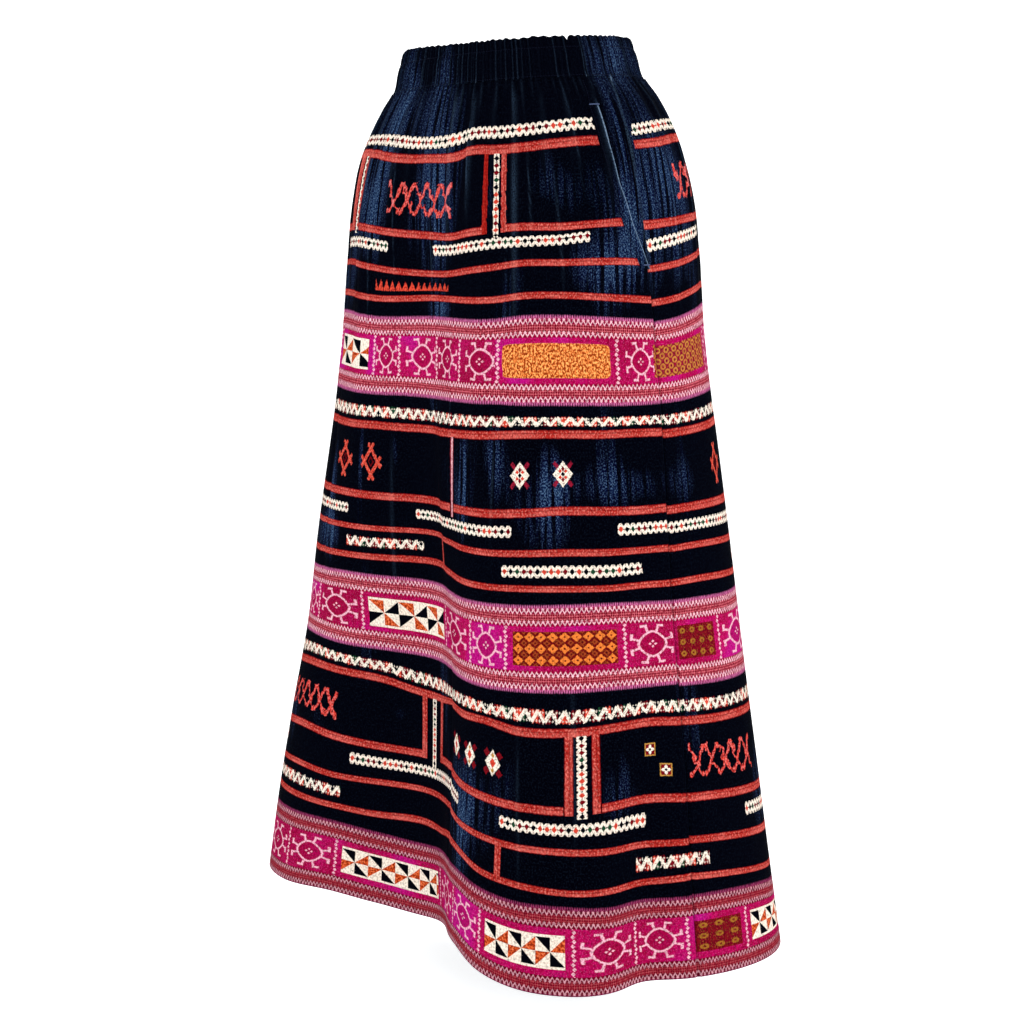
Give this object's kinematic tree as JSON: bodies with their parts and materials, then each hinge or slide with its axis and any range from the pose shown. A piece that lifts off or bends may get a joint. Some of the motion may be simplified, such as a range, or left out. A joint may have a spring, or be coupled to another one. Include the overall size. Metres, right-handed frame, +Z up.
{
  "type": "gathered skirt with printed bands",
  "caption": "Long elastic-waisted skirt of indigo cotton with printed ornamental bands, gathered at the waist, flaring to a soft folded hem, with slanted side pockets.",
  "frame": {"origin": "middle of the waist edge, where the wearer's waist carries the skirt", "axes": "+Z up towards the waist, -Y the front of the skirt, +X the wearer's left side seam"},
  "size_m": [0.6087, 0.3839, 0.9121],
  "materials": {
    "indigo_cotton": "matte woven cotton with a faded, streaky indigo dye",
    "printed_cotton": "matte woven cotton, indigo ground printed with magenta, salmon and cream bands"
  },
  "bodies": {
    "root": {"waistband": "indigo_cotton", "front_panel": "printed_cotton", "back_panel": "printed_cotton", "pocket_backing_left": "indigo_cotton", "pocket_backing_right": "indigo_cotton", "pocket_welt_left": "indigo_cotton", "pocket_welt_right": "indigo_cotton"}
  },
  "joints": []
}
